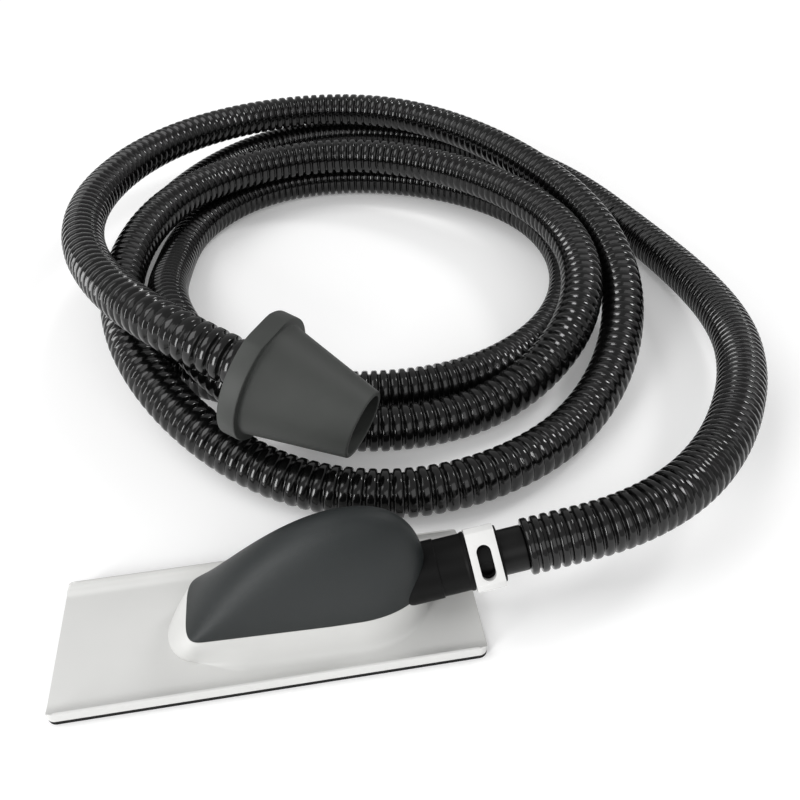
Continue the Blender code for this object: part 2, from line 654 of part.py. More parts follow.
def make_cone_adapter(cone_frame):
    """Rubber cone with a thick flange, one flat on the flange's edge, open at its tip."""
    hole = HOSE_RADIUS + FIT
    rim = FLANGE_RADIUS - FLANGE_EDGE
    profile = [
        (hole, -FLANGE_THICKNESS), (rim, -FLANGE_THICKNESS),
        (FLANGE_RADIUS, FLANGE_EDGE - FLANGE_THICKNESS), (FLANGE_RADIUS, -FLANGE_EDGE), (rim, 0),
        (CONE_BASE_RADIUS, 0), (CONE_TIP_RADIUS, CONE_LENGTH),
        (CONE_TIP_RADIUS - CONE_WALL, CONE_LENGTH), (CONE_BASE_RADIUS - CONE_WALL, 0),
        (hole, 0),
    ]
    cone = add_object("cone_adapter", turned(profile, 48), material("cone_grey", (0.05, 0.052, 0.048), 0.7),
                      cone_frame)
    upwards = cone_frame_up()
    across = upwards.cross(Vector((0, 0, 1)))
    bm = bmesh.new()
    bmesh.ops.create_cube(bm, size=1.0)
    side = 2 * FLANGE_RADIUS
    place = Matrix((across, Vector((0, 0, 1)), upwards)).transposed().to_4x4()
    shift = Matrix.Translation((0, -FLANGE_THICKNESS / 2, FLANGE_FLAT + FLANGE_RADIUS / 2))
    size = Matrix.Diagonal((side, FLANGE_THICKNESS + OVERCUT, FLANGE_RADIUS, 1))
    bm.transform(place @ shift @ size)
    boolean(cone, add_object("flange_flat", bm, frame=cone_frame))


def cone_frame_up():
    """Direction across the cone's axis, in the cone frame, that points most upwards."""
    world = CONE_AXIS.to_track_quat("Z", "Y").to_matrix().transposed()
    up = Vector((0, 0, 1)) - CONE_AXIS * CONE_AXIS.z
    return (world @ up).normalized()


clear_scene()
neck_axis_frame = add_frame("neck_axis", NECK_ROOT, NECK_AXIS)
cone_axis_frame = add_frame("cone_axis", CONE_FRONT, CONE_AXIS)
make_hook_sheet()
make_sole_pad()
make_base_plate(neck_axis_frame)
make_grip_shell(neck_axis_frame)
make_grip_screws()
make_neck_tube(neck_axis_frame)
make_bleed_collar(neck_axis_frame)
make_hose_cuff(neck_axis_frame)
make_hose()
make_hose_end_sleeve(cone_axis_frame)
make_cone_adapter(cone_axis_frame)
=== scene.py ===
import math

import bmesh
import bpy
import numpy as np
from mathutils import Matrix, Vector


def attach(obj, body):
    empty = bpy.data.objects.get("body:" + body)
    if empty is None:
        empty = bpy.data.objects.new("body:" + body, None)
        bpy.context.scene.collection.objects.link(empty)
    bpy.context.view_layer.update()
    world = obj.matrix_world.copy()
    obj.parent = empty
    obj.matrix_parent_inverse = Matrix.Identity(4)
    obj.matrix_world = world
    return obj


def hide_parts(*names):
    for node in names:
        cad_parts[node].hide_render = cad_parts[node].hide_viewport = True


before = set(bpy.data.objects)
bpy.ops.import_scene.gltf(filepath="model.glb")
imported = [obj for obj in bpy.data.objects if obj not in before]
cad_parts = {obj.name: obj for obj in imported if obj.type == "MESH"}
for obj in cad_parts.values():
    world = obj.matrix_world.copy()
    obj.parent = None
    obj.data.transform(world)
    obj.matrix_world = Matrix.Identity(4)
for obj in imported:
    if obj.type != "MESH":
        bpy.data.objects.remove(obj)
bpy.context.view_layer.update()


# Camera: it stands in front of the plate, about 0.4 m up, and looks down on the head and across the
# loops of the hose, turned a little to the right. Its lens is given as a focal length in pixels.
IMAGE_SIZE = 800
FOCAL_LENGTH_PIXELS = 786.9
CAMERA_PLACE = (0.0422, -0.2552, 0.3978)
CAMERA_PITCH = math.radians(42.58)
CAMERA_YAW = math.radians(7.95)
CAMERA_ROLL = math.radians(-1.54)
NEAREST_VIEW = 0.01
camera_data = bpy.data.cameras.new("camera")
camera_data.sensor_fit = "HORIZONTAL"
camera_data.lens = camera_data.sensor_width * FOCAL_LENGTH_PIXELS / IMAGE_SIZE
camera_data.clip_start = NEAREST_VIEW
camera = bpy.data.objects.new("camera", camera_data)
bpy.context.scene.collection.objects.link(camera)
camera.matrix_world = (Matrix.Translation(CAMERA_PLACE)
                       @ Matrix.Rotation(-CAMERA_YAW, 4, "Z")
                       @ Matrix.Rotation(math.pi / 2 - CAMERA_PITCH, 4, "X")
                       @ Matrix.Rotation(CAMERA_ROLL, 4, "Z"))
bpy.context.scene.camera = camera


# Floor and light: a sweep of white paper, lit a little from below, in a pale room. Four soft boxes stand
# round it: broad ones high on the left and in front, and two smaller ones, low on the left and on the
# right, that draw glints on the ribs.
FLOOR_SIZE = 8.0
FLOOR_DROP = 0.0002
PAPER_TONES = (0.88, 0.92)
PAPER_CLOUDS = 3.0
PAPER_ROUGHNESS = 0.9
PAPER_GLOW = 0.18
WHITE = (1, 1, 1, 1)
ROOM_TONE = 0.46
LIGHT_AIM = Vector((0.08, 0.15, 0.03))


def studio_paper():
    """White paper, lit a little from below: broad clouds move its tone by a few hundredths."""
    paper = bpy.data.materials.new("studio_paper")
    paper.use_nodes = True
    nodes = paper.node_tree.nodes
    links = paper.node_tree.links
    place = nodes.new("ShaderNodeTexCoord")
    clouds = nodes.new("ShaderNodeTexNoise")
    clouds.inputs["Scale"].default_value = PAPER_CLOUDS
    tone = nodes.new("ShaderNodeValToRGB")
    for end, shade in zip(tone.color_ramp.elements, PAPER_TONES):
        end.color = (shade, shade, shade, 1)
    links.new(place.outputs["Object"], clouds.inputs["Vector"])
    links.new(clouds.outputs["Fac"], tone.inputs["Fac"])
    shader = nodes["Principled BSDF"]
    links.new(tone.outputs["Color"], shader.inputs["Base Color"])
    shader.inputs["Roughness"].default_value = PAPER_ROUGHNESS
    shader.inputs["Emission Color"].default_value = WHITE
    shader.inputs["Emission Strength"].default_value = PAPER_GLOW
    return paper


floor_mesh = bpy.data.meshes.new("floor")
floor_corner = FLOOR_SIZE / 2 * np.array(((-1, -1), (1, -1), (1, 1), (-1, 1)))
floor_points = np.column_stack((floor_corner, np.full(4, -FLOOR_DROP)))
floor_mesh.from_pydata(floor_points.tolist(), [], [(0, 1, 2, 3)])
floor_mesh.materials.append(studio_paper())
floor = bpy.data.objects.new("floor", floor_mesh)
bpy.context.scene.collection.objects.link(floor)

room = bpy.data.worlds.new("white_room")
room.use_nodes = True
room.node_tree.nodes["Background"].inputs["Color"].default_value = WHITE
room.node_tree.nodes["Background"].inputs["Strength"].default_value = ROOM_TONE
bpy.context.scene.world = room
bpy.context.scene.view_settings.view_transform = "Standard"


def soft_box(name, bearing, rise, distance, width, height, brightness):
    """Flat lamp that faces the object from a bearing round it and a height over the horizon, both in
    degrees. Its power is pi times its area times its brightness."""
    panel = bpy.data.lights.new(name, "AREA")
    panel.shape = "RECTANGLE"
    panel.size = width
    panel.size_y = height
    panel.energy = math.pi * width * height * brightness
    lamp = bpy.data.objects.new(name, panel)
    turn = math.radians(bearing)
    lift = math.radians(rise)
    towards = Vector((math.cos(lift) * math.cos(turn), math.cos(lift) * math.sin(turn), math.sin(lift)))
    lamp.location = LIGHT_AIM + distance * towards
    lamp.rotation_euler = towards.to_track_quat("Z", "Y").to_euler()
    lamp.visible_camera = False
    bpy.context.scene.collection.objects.link(lamp)


soft_box("high_box", bearing=170, rise=58, distance=3.2, width=2.0, height=2.0, brightness=2.6)
soft_box("front_box", bearing=285, rise=42, distance=3.6, width=2.8, height=2.0, brightness=1.2)
soft_box("strip_box", bearing=220, rise=17, distance=3.0, width=0.8, height=1.8, brightness=11.5)
soft_box("right_box", bearing=25, rise=40, distance=3.2, width=0.6, height=0.6, brightness=18.0)


# Hose: one length of black blow-moulded plastic with round-shouldered ribs and a plain bore. It leaves
# the cuff straight, lies in loops on the floor and on itself, and ends in the back of the rubber cone.
# It lies a little stretched, so its ribs stand wider apart towards the cone.
HOSE_RADIUS = 0.016
HOSE_VALLEY_RADIUS = 0.0134
HOSE_BORE_RADIUS = 0.0122
RIB_PITCH_START = 0.0059
RIB_PITCH_END = 0.0089
HOSE_STRAIGHT = 0.034
HOSE_INSERT = 0.020
HOSE_LIFT = 0.0003
HOSE_SIDES = 22
BORE_RINGS = 160
AIM_REACH = 0.002
SEAM_MERGE = 1e-6
neck_tilt = math.radians(9.5)
neck_axis = np.array((math.cos(neck_tilt), 0, math.sin(neck_tilt)))
neck_root = np.array((0.060, 0, 0.024))
CUFF_END = 0.0870
cone_front = np.array((0.015, 0.117, 0.082))
cone_tip = np.array((0.067, 0.082, 0.068))
cone_axis = (cone_tip - cone_front) / np.linalg.norm(cone_tip - cone_front)
FLANGE_THICKNESS = 0.012
hose_route = np.array((
    (0.238, 0.013, 0.051), (0.306, 0.075, 0.049), (0.348, 0.160, 0.038), (0.358, 0.254, 0.025),
    (0.346, 0.349, 0.017), (0.318, 0.442, 0.016), (0.267, 0.523, 0.016), (0.192, 0.583, 0.016),
    (0.104, 0.611, 0.016), (0.017, 0.591, 0.016), (-0.052, 0.527, 0.016), (-0.097, 0.438, 0.016),
    (-0.113, 0.345, 0.016), (-0.092, 0.262, 0.016), (-0.035, 0.204, 0.016), (0.053, 0.172, 0.016),
    (0.147, 0.170, 0.016), (0.226, 0.215, 0.016), (0.269, 0.298, 0.016), (0.261, 0.388, 0.016),
    (0.201, 0.461, 0.016), (0.113, 0.500, 0.016), (0.021, 0.494, 0.016), (-0.047, 0.434, 0.017),
    (-0.067, 0.341, 0.028), (-0.058, 0.244, 0.050), (-0.018, 0.170, 0.042), (0.022, 0.142, 0.028),
    (0.066, 0.130, 0.019), (0.110, 0.128, 0.017), (0.155, 0.136, 0.018), (0.231, 0.184, 0.038),
    (0.263, 0.269, 0.050), (0.247, 0.362, 0.049), (0.190, 0.439, 0.048), (0.106, 0.484, 0.048),
    (0.016, 0.479, 0.048), (-0.059, 0.424, 0.051), (-0.095, 0.337, 0.051), (-0.093, 0.240, 0.048),
    (-0.054, 0.154, 0.036), (0.015, 0.092, 0.020), (0.060, 0.074, 0.017), (0.104, 0.069, 0.016),
    (0.194, 0.096, 0.016), (0.260, 0.162, 0.023), (0.294, 0.249, 0.038), (0.293, 0.344, 0.047),
    (0.266, 0.436, 0.049), (0.218, 0.521, 0.049), (0.148, 0.583, 0.049), (0.060, 0.602, 0.049),
    (-0.027, 0.569, 0.054), (-0.093, 0.500, 0.061), (-0.127, 0.412, 0.068), (-0.125, 0.317, 0.078),
    (-0.090, 0.224, 0.090),
))


def smooth_line(knots, first_slope, last_slope, steps=24):
    """Cubic spline through the knots whose slope and bend never jump: the slopes at the knots
    solve one banded system, and each span is the cubic that has them at its two ends."""
    spans = np.linalg.norm(np.diff(knots, axis=0), axis=1)
    chords = np.diff(knots, axis=0) / spans[:, None]
    before = np.append(spans[1:], 0)
    after = np.append(0, spans[:-1])
    middle = np.concatenate(([1], 2 * (spans[:-1] + spans[1:]), [1]))
    system = np.diag(middle) + np.diag(before, -1) + np.diag(after, 1)
    wanted = np.vstack((first_slope,
                        3 * (spans[1:, None] * chords[:-1] + spans[:-1, None] * chords[1:]),
                        last_slope))
    slopes = np.linalg.solve(system, wanted)
    t = np.linspace(0, 1, steps, endpoint=False)[None, :, None]
    span = spans[:, None, None]
    points = (knots[:-1, None] * (2 * t ** 3 - 3 * t ** 2 + 1)
              + span * slopes[:-1, None] * (t ** 3 - 2 * t ** 2 + t)
              + knots[1:, None] * (3 * t ** 2 - 2 * t ** 3)
              + span * slopes[1:, None] * (t ** 3 - t ** 2))
    return np.vstack((points.reshape(-1, 3), knots[-1:]))


def along_line(line, marks):
    """Points of a polyline at given distances from its start."""
    steps = np.linalg.norm(np.diff(line, axis=0), axis=1)
    distance = np.append(0, np.cumsum(steps))
    return np.stack([np.interp(marks, distance, line[:, k]) for k in range(3)], axis=1)


def swept_rings(line, marks, radii, sides):
    """Circle of the given radius carried along a line: at each mark, across(t) and over(t)
    span the plane square to the line, with across level, and the ring is their turn. The line's
    direction is taken over a short reach before and after the mark."""
    centre = along_line(line, marks)
    ahead = along_line(line, marks + AIM_REACH) - along_line(line, marks - AIM_REACH)
    ahead /= np.linalg.norm(ahead, axis=1, keepdims=True)
    across = np.cross(ahead, (0, 0, 1))
    across /= np.linalg.norm(across, axis=1, keepdims=True)
    over = np.cross(across, ahead)
    turn = np.linspace(0, 2 * math.pi, sides, endpoint=False)[None, :, None]
    spokes = across[:, None] * np.cos(turn) + over[:, None] * np.sin(turn)
    return centre[:, None] + radii[:, None, None] * spokes


def ring_mesh(name, rings, caps="", sharp_degrees=35):
    """Skin of closed rings, rings[i, j]: one quad joins points j and j+1 of rings i and i+1.
    caps names the ends to close with a flat face, or joins the last ring to the first."""
    count, sides = rings.shape[:2]
    index = np.arange(count * sides).reshape(count, sides)
    if "loop" in caps:
        index = np.vstack((index, index[:1]))
    ahead = np.roll(index, -1, axis=1)
    quads = np.stack((index[:-1], ahead[:-1], ahead[1:], index[1:]), axis=-1)
    faces = quads.reshape(-1, 4).tolist()
    if "start" in caps:
        faces.append(index[0, ::-1].tolist())
    if "end" in caps:
        faces.append(index[-1].tolist())
    mesh = bpy.data.meshes.new(name)
    mesh.from_pydata(rings.reshape(-1, 3).tolist(), [], faces)
    work = bmesh.new()
    work.from_mesh(mesh)
    bmesh.ops.remove_doubles(work, verts=work.verts, dist=SEAM_MERGE)
    bmesh.ops.recalc_face_normals(work, faces=work.faces)
    work.to_mesh(mesh)
    work.free()
    mesh.shade_smooth()
    mesh.set_sharp_from_angle(angle=math.radians(sharp_degrees))
    return mesh


def dress(mesh, finish, body, slot, *nodes):
    """Make a piece of a mesh: it rides on a body and stands for the solids that it covers."""
    mesh.materials.append(finish)
    piece = bpy.data.objects.new(mesh.name, mesh)
    bpy.context.scene.collection.objects.link(piece)
    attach(piece, body)
    if nodes:
        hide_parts(*nodes)
    return piece


def moulded_finish(name, colour, roughness, shine, grain, depth, drift=0.08, gloss_drift=0.08):
    """Moulded surface: broad clouds move the colour by a share of drift and the roughness by
    gloss_drift, and a grain of the given size in metres is pressed in to the given depth."""
    finish = bpy.data.materials.new(name)
    finish.use_nodes = True
    nodes = finish.node_tree.nodes
    links = finish.node_tree.links
    shader = nodes["Principled BSDF"]
    shader.inputs["Specular IOR Level"].default_value = shine
    place = nodes.new("ShaderNodeTexCoord")
    clouds = nodes.new("ShaderNodeTexNoise")
    clouds.inputs["Scale"].default_value = 30
    clouds.inputs["Detail"].default_value = 5
    tone = nodes.new("ShaderNodeValToRGB")
    tone.color_ramp.elements[0].position = 0.3
    tone.color_ramp.elements[0].color = (*(c * (1 - drift) for c in colour), 1)
    tone.color_ramp.elements[1].position = 0.7
    tone.color_ramp.elements[1].color = (*(c * (1 + drift) for c in colour), 1)
    gloss = nodes.new("ShaderNodeMapRange")
    gloss.inputs["To Min"].default_value = roughness - gloss_drift
    gloss.inputs["To Max"].default_value = roughness + gloss_drift
    pores = nodes.new("ShaderNodeTexNoise")
    pores.inputs["Scale"].default_value = 1 / grain
    pores.inputs["Detail"].default_value = 3
    relief = nodes.new("ShaderNodeBump")
    relief.inputs["Distance"].default_value = depth
    links.new(place.outputs["Object"], clouds.inputs["Vector"])
    links.new(place.outputs["Object"], pores.inputs["Vector"])
    links.new(clouds.outputs["Fac"], tone.inputs["Fac"])
    links.new(clouds.outputs["Fac"], gloss.inputs["Value"])
    links.new(pores.outputs["Fac"], relief.inputs["Height"])
    links.new(tone.outputs["Color"], shader.inputs["Base Color"])
    links.new(gloss.outputs["Result"], shader.inputs["Roughness"])
    links.new(relief.outputs["Normal"], shader.inputs["Normal"])
    return finish


hose_start = neck_root + neck_axis * (CUFF_END + HOSE_LIFT)
cone_back = cone_front - cone_axis * FLANGE_THICKNESS
hose_end = cone_back + cone_axis * HOSE_INSERT
hose_curve = smooth_line(np.vstack((hose_start + neck_axis * HOSE_STRAIGHT, hose_route,
                                    cone_back - cone_axis * HOSE_STRAIGHT)), neck_axis, cone_axis)
hose_curve[:, 2] = np.maximum(hose_curve[:, 2], HOSE_RADIUS + HOSE_LIFT)
hose_line = np.vstack((hose_start, hose_curve, hose_end))
hose_length = np.linalg.norm(np.diff(hose_line, axis=0), axis=1).sum()
rib_count = round(2 * hose_length / (RIB_PITCH_START + RIB_PITCH_END))
stretch = (RIB_PITCH_END - RIB_PITCH_START) / (RIB_PITCH_END + RIB_PITCH_START)
# One rib from its foot: shares of the pitch along the hose, and of the height over the valley.
rib_shape = np.array(((0.0, 0.0), (0.06, 0.8), (0.20, 1.0), (0.56, 1.0), (0.70, 0.8), (0.76, 0.0)))
rib_share = ((np.arange(rib_count)[:, None] + rib_shape[:, 0]) / rib_count).ravel()
rib_marks = hose_length * ((1 - stretch) * rib_share + stretch * rib_share ** 2)
rib_radii = np.tile(HOSE_VALLEY_RADIUS + (HOSE_RADIUS - HOSE_VALLEY_RADIUS) * rib_shape[:, 1], rib_count)
rib_marks = np.append(rib_marks, hose_length)
rib_radii = np.append(rib_radii, HOSE_VALLEY_RADIUS)
bore_marks = np.linspace(hose_length, 0, BORE_RINGS)
bore_radii = np.full(BORE_RINGS, HOSE_BORE_RADIUS)
hose_rings = np.concatenate((swept_rings(hose_line, rib_marks, rib_radii, HOSE_SIDES),
                             swept_rings(hose_line, bore_marks, bore_radii, HOSE_SIDES)))
hose_black = moulded_finish("hose_black", colour=(0.003, 0.003, 0.003), roughness=0.13, shine=0.46,
                            grain=0.0009, depth=0.000004, drift=0.08, gloss_drift=0.03)
hose_mesh = ring_mesh("ribbed_hose", hose_rings, "loop", sharp_degrees=80)
hose = dress(hose_mesh, hose_black, "sander", "hose_black", "hose")


# Base plate: one injection moulding of light grey plastic. The flat plate curls up into a rim along
# each long edge, the pedestal under the grip sweeps up out of it, and its hollow is the dust chamber.
PLATE_LENGTH = 0.235
PLATE_WIDTH = 0.0825
PLATE_CORNER = 0.005
PLATE_BOTTOM = 0.0029
PLATE_TOP = 0.0053
FIELD_MARGIN = 0.004
FIELD_REACH = 0.0035
RIM_HEIGHT = 0.0047
RIM_CURL = 0.0072
RIM_THICKNESS = 0.0012
RIM_EDGE = 0.0004
PEDESTAL_HEIGHT = 0.0187
PARTING = PLATE_TOP + PEDESTAL_HEIGHT
PEDESTAL_FLARE = 0.009
FLARE_START = 0.004
FLARE_RUN = 0.040
NOSE_DRAW = 0.003
NOSE_X = -0.0433
NOSE_SLOPE = 0.0137
NOSE_ROUND = 0.0133
NOSE_NARROWING = 0.0022
RAMP_START_X = -0.0367
RAMP_LENGTH = 0.0717
TAIL_X = 0.0895
TAIL_FLARE = 0.002
TAIL_ROUND_X = 0.050
GRIP_HALF_WIDTH = 0.0232
CHAMBER_WALL = 0.0027
CHAMBER_NOSE_WALL = 0.0054
CHAMBER_END_X = 0.066
CHAMBER_WAIST = 0.0128
CHAMBER_WAIST_LEVEL = 0.4
CHAMBER_TOP = 0.0215
CHAMBER_TOP_LEVEL = 0.85


def half_width(x, level):
    """Half the width of the plan at one level, 0 at the foot and 1 at the parting plane: a slow
    ramp, closed by a blunt superellipse at the nose and by an ellipse at the tail. A hollow quarter
    ellipse draws the foot in a little at the nose and, by an S curve, widens it behind."""
    flare = 1 - math.sqrt(1 - (1 - level) ** 2)
    nose = NOSE_X - NOSE_SLOPE * (1 - level)
    tail = TAIL_X + TAIL_FLARE * flare
    ramp = np.clip((x - RAMP_START_X) / RAMP_LENGTH, 0, 1)
    behind = np.clip((x - nose - FLARE_START) / FLARE_RUN, 0, 1)
    behind = behind ** 2 * (3 - 2 * behind)
    spread = PEDESTAL_FLARE * behind - NOSE_DRAW * (1 - behind)
    width = GRIP_HALF_WIDTH + spread * flare - NOSE_NARROWING * (1 - ramp)
    blunt = 2 + 2 * level
    into_nose = np.clip((nose + NOSE_ROUND - x) / NOSE_ROUND, 0, 1)
    into_tail = np.clip((x - TAIL_ROUND_X) / (tail - TAIL_ROUND_X), 0, 1)
    return width * (1 - into_nose ** blunt) ** (1 / blunt) * np.sqrt(1 - into_tail ** 2)


def plan_outline(level, start, end, inset=0.0):
    """Closed outline of the plan: 120 stations from nose to tail on the near side, drawn closer at
    both ends by a cosine, and the same stations back on the far side."""
    x = start + (end - start) * (1 - np.cos(np.linspace(0, math.pi, 120))) / 2
    y = np.maximum(half_width(x, level) - inset, 0)
    near = np.stack((x, -y), axis=1)
    return np.vstack((near, near[::-1] * (1, -1)))


def plate_outline(half_x, half_y, corner):
    """Closed rounded rectangle, 120 points on the near half: 14 on each half end, 10 on each
    corner's quarter circle and the rest on the long side; the far half mirrors them."""
    turn = np.linspace(0, math.pi / 2, 10)[:, None]
    end = np.sin(np.linspace(0, math.pi / 2, 15)[:14, None])
    left_end = (-half_x, 0) + end * (0, corner - half_y)
    left_corner = (corner - half_x, corner - half_y) - corner * np.hstack((np.cos(turn), np.sin(turn)))
    side = np.linspace(corner - half_x, half_x - corner, 74)[1:-1]
    near_left = np.vstack((left_end, left_corner))
    near = np.vstack((near_left, np.column_stack((side, np.full_like(side, -half_y))), near_left[::-1] * (-1, 1)))
    return np.vstack((near, near[::-1] * (1, -1)))


def plate_height(y):
    """Height of the plate's top across its width: flat, then a hollow quarter ellipse up to the rim."""
    curl_start = PLATE_WIDTH / 2 - RIM_THICKNESS - RIM_CURL
    into_curl = np.clip((np.abs(y) - curl_start) / RIM_CURL, 0, 1)
    return PLATE_TOP + RIM_HEIGHT * (1 - np.sqrt(1 - into_curl ** 2))


def at_height(outline, height):
    """Outline lifted to a height, one for all or one for each point."""
    return np.column_stack((outline, np.broadcast_to(height, len(outline))))


plate_rings = []
for angle in np.linspace(0, math.pi / 2, 22):
    level = 1 - math.sin(angle)
    nose_foot = NOSE_X - NOSE_SLOPE * math.sin(angle)
    outline = plan_outline(level, nose_foot, TAIL_X + TAIL_FLARE * (1 - math.cos(angle)))
    plate_rings.append(at_height(outline, PLATE_TOP + PEDESTAL_HEIGHT * level))
foot = plate_rings[-1][:, :2]
field_half = PLATE_LENGTH / 2 - FIELD_MARGIN
rim_half = PLATE_WIDTH / 2 - RIM_THICKNESS
flat_edge = plate_outline(field_half, rim_half - RIM_CURL, PLATE_CORNER)
for share in np.linspace(0.1, 1, 8):
    plate_rings.append(at_height(foot * (1 - share) + flat_edge * share, PLATE_TOP))
for share in np.linspace(0.1, 1, 14):
    curl_left = RIM_CURL * (1 - math.sin(share * math.pi / 2))
    curl = plate_outline(field_half + FIELD_REACH * share, rim_half - curl_left, PLATE_CORNER)
    plate_rings.append(at_height(curl, plate_height(curl[:, 1])))
for angle in np.linspace(0, math.pi / 2, 5):
    draw_in = RIM_EDGE * (1 - math.sin(angle))
    edge = plate_outline(PLATE_LENGTH / 2 - draw_in, PLATE_WIDTH / 2 - draw_in, PLATE_CORNER)
    plate_rings.append(at_height(edge, plate_height(edge[:, 1]) - RIM_EDGE * (1 - math.cos(angle))))
plate_rings.append(at_height(edge, PLATE_BOTTOM))
for level, height in ((0, PLATE_BOTTOM), (0, PLATE_TOP), (CHAMBER_WAIST_LEVEL, CHAMBER_WAIST),
                      (CHAMBER_TOP_LEVEL, CHAMBER_TOP)):
    start = NOSE_X - NOSE_SLOPE * (1 - level) + CHAMBER_NOSE_WALL
    plate_rings.append(at_height(plan_outline(level, start, CHAMBER_END_X, CHAMBER_WALL), height))
plate_grey = moulded_finish("plate_grey", colour=(0.63, 0.63, 0.617), roughness=0.30, shine=0.5,
                            grain=0.0006, depth=0.00002, drift=0.015, gloss_drift=0.05)
dress(ring_mesh("moulded_plate", np.array(plate_rings), "start end"), plate_grey, "sander", "plate_grey",
      "base_plate")


# Grip: a hollow shell of charcoal plastic with a soft-touch coat. It is moulded in one piece,
# stands on the pedestal and is held by screws from below.
GRIP_HEIGHT = 0.0633
GRIP_PEAK_X = 0.046
GRIP_GAP = 0.0003
RISE_POWER = 1.75
FALL_POWER = 2.6
END_TRIM = 0.02


def ridge_height(x):
    """Height of the grip over the parting plane: a power curve up from the nose to the peak, and
    a superellipse down to the tail."""
    rise = np.clip((GRIP_PEAK_X - x) / (GRIP_PEAK_X - NOSE_X), 0, 1)
    fall = np.clip((x - GRIP_PEAK_X) / (TAIL_X - GRIP_PEAK_X), 0, 1)
    return GRIP_HEIGHT * (1 - rise ** RISE_POWER) * (1 - fall ** FALL_POWER) ** (1 / FALL_POWER)


grip_share = (1 - np.cos(np.linspace(END_TRIM, math.pi - END_TRIM, 110))) / 2
along_grip = NOSE_X + (TAIL_X - NOSE_X) * grip_share
round_grip = np.linspace(0, math.pi, 64)
grip_rings = np.stack(np.broadcast_arrays(
    along_grip[:, None],
    -half_width(along_grip, 1)[:, None] * np.cos(round_grip),
    PARTING + GRIP_GAP + ridge_height(along_grip)[:, None] * np.sin(round_grip)), axis=-1)
grip_charcoal = moulded_finish("grip_charcoal", colour=(0.0125, 0.0155, 0.0160), roughness=0.46, shine=0.36,
                               grain=0.00035, depth=0.00016)
dress(ring_mesh("soft_grip", grip_rings, "start end"), grip_charcoal, "sander", "grip_charcoal", "grip_shell")


# Neck: a moulded tube of black satin plastic, plugged into the pedestal, with a thicker sleeve at the
# grip and a bead and a lip that keep the collar on its seat. Distances run along it from its root.
NECK_BORE_RADIUS = 0.012
NECK_RADIUS = 0.016
SLEEVE_RADIUS = 0.0167
BEAD_RADIUS = 0.0166
SEAT_RADIUS = 0.015
LIP_RADIUS = 0.0159
SOCKET_RADIUS = 0.0130
NECK_START = 0.0003
SLEEVE_START = 0.0083
SLEEVE_END = 0.0375
SOCKET_START = 0.0493
BEAD_START = 0.0527
BEAD_CREST = 0.0535
SEAT_START = 0.0552
SEAT_END = 0.0718
NECK_END = 0.0733
TUBE_EDGE = 0.0006
BLEED_DISTANCE = 0.0635
BLEED_RADIUS = 0.004
BLEED_CUT_START = 0.008
BLEED_CUT_END = 0.020
BLEED_EDGE = 0.0002
BREAK_ANGLE = math.radians(38)
SHARP_ANGLE = math.radians(35)


def turned_rings(origin, axis, profile, sides=96):
    """Profile of (radius, distance) points turned round an axis: each point makes one ring in
    the plane square to the axis at its distance from the origin."""
    profile = np.asarray(profile)
    across = np.cross(axis, (0, 0, 1))
    across /= np.linalg.norm(across)
    over = np.cross(across, axis)
    turn = np.linspace(0, 2 * math.pi, sides, endpoint=False)[:, None]
    spokes = across * np.cos(turn) + over * np.sin(turn)
    return origin + profile[:, 1, None, None] * axis + profile[:, 0, None, None] * spokes


def eased(profile, radius, steps=3):
    """Closed profile with each corner rounded: the line leaves a radius before the corner, or a little
    under half of the shorter side, and meets the next side as far behind it, on a quadratic curve."""
    corner = np.asarray(profile)
    before = np.roll(corner, 1, axis=0) - corner
    after = np.roll(corner, -1, axis=0) - corner
    before_length = np.linalg.norm(before, axis=1)
    after_length = np.linalg.norm(after, axis=1)
    reach = np.minimum(radius, 0.45 * np.minimum(before_length, after_length))
    leave = corner + before / before_length[:, None] * reach[:, None]
    meet = corner + after / after_length[:, None] * reach[:, None]
    t = np.linspace(0, 1, steps + 1)[None, :, None]
    curve = leave[:, None] * (1 - t) ** 2 + 2 * corner[:, None] * t * (1 - t) + meet[:, None] * t ** 2
    return curve.reshape(-1, 2)


def cut_through(piece, cutter_rings, edge):
    """Cut the prism between two rings out of a piece, and break its sharp edges by a small bevel."""
    cutter = bpy.data.objects.new("cutter", ring_mesh("cutter", cutter_rings, "start end"))
    bpy.context.scene.collection.objects.link(cutter)
    cut = piece.modifiers.new("cut", "BOOLEAN")
    cut.object = cutter
    soften = piece.modifiers.new("soften", "BEVEL")
    soften.width = edge
    soften.segments = 2
    soften.limit_method = "ANGLE"
    soften.angle_limit = BREAK_ANGLE
    finished = bpy.data.meshes.new_from_object(piece.evaluated_get(bpy.context.evaluated_depsgraph_get()))
    piece.modifiers.clear()
    piece.data = finished
    bpy.data.objects.remove(cutter)
    finished.shade_smooth()
    finished.set_sharp_from_angle(angle=SHARP_ANGLE)


neck_profile = ((NECK_BORE_RADIUS, NECK_START), (NECK_RADIUS, NECK_START), (NECK_RADIUS, SLEEVE_START),
                (SLEEVE_RADIUS, SLEEVE_START), (SLEEVE_RADIUS, SLEEVE_END), (NECK_RADIUS, SLEEVE_END),
                (NECK_RADIUS, BEAD_START), (BEAD_RADIUS, BEAD_CREST), (BEAD_RADIUS, SEAT_START),
                (SEAT_RADIUS, SEAT_START), (SEAT_RADIUS, SEAT_END), (LIP_RADIUS, SEAT_END),
                (LIP_RADIUS, NECK_END), (SOCKET_RADIUS, NECK_END), (SOCKET_RADIUS, SOCKET_START),
                (NECK_BORE_RADIUS, SOCKET_START))
neck_black = moulded_finish("neck_black", colour=(0.004, 0.004, 0.004), roughness=0.45, shine=0.11,
                            grain=0.0007, depth=0.00003)
neck_rings = turned_rings(neck_root, neck_axis, eased(neck_profile, TUBE_EDGE))
neck_mesh = ring_mesh("neck_tube_smooth", neck_rings, "loop")
neck = dress(neck_mesh, neck_black, "sander", "neck_black", "neck_tube")
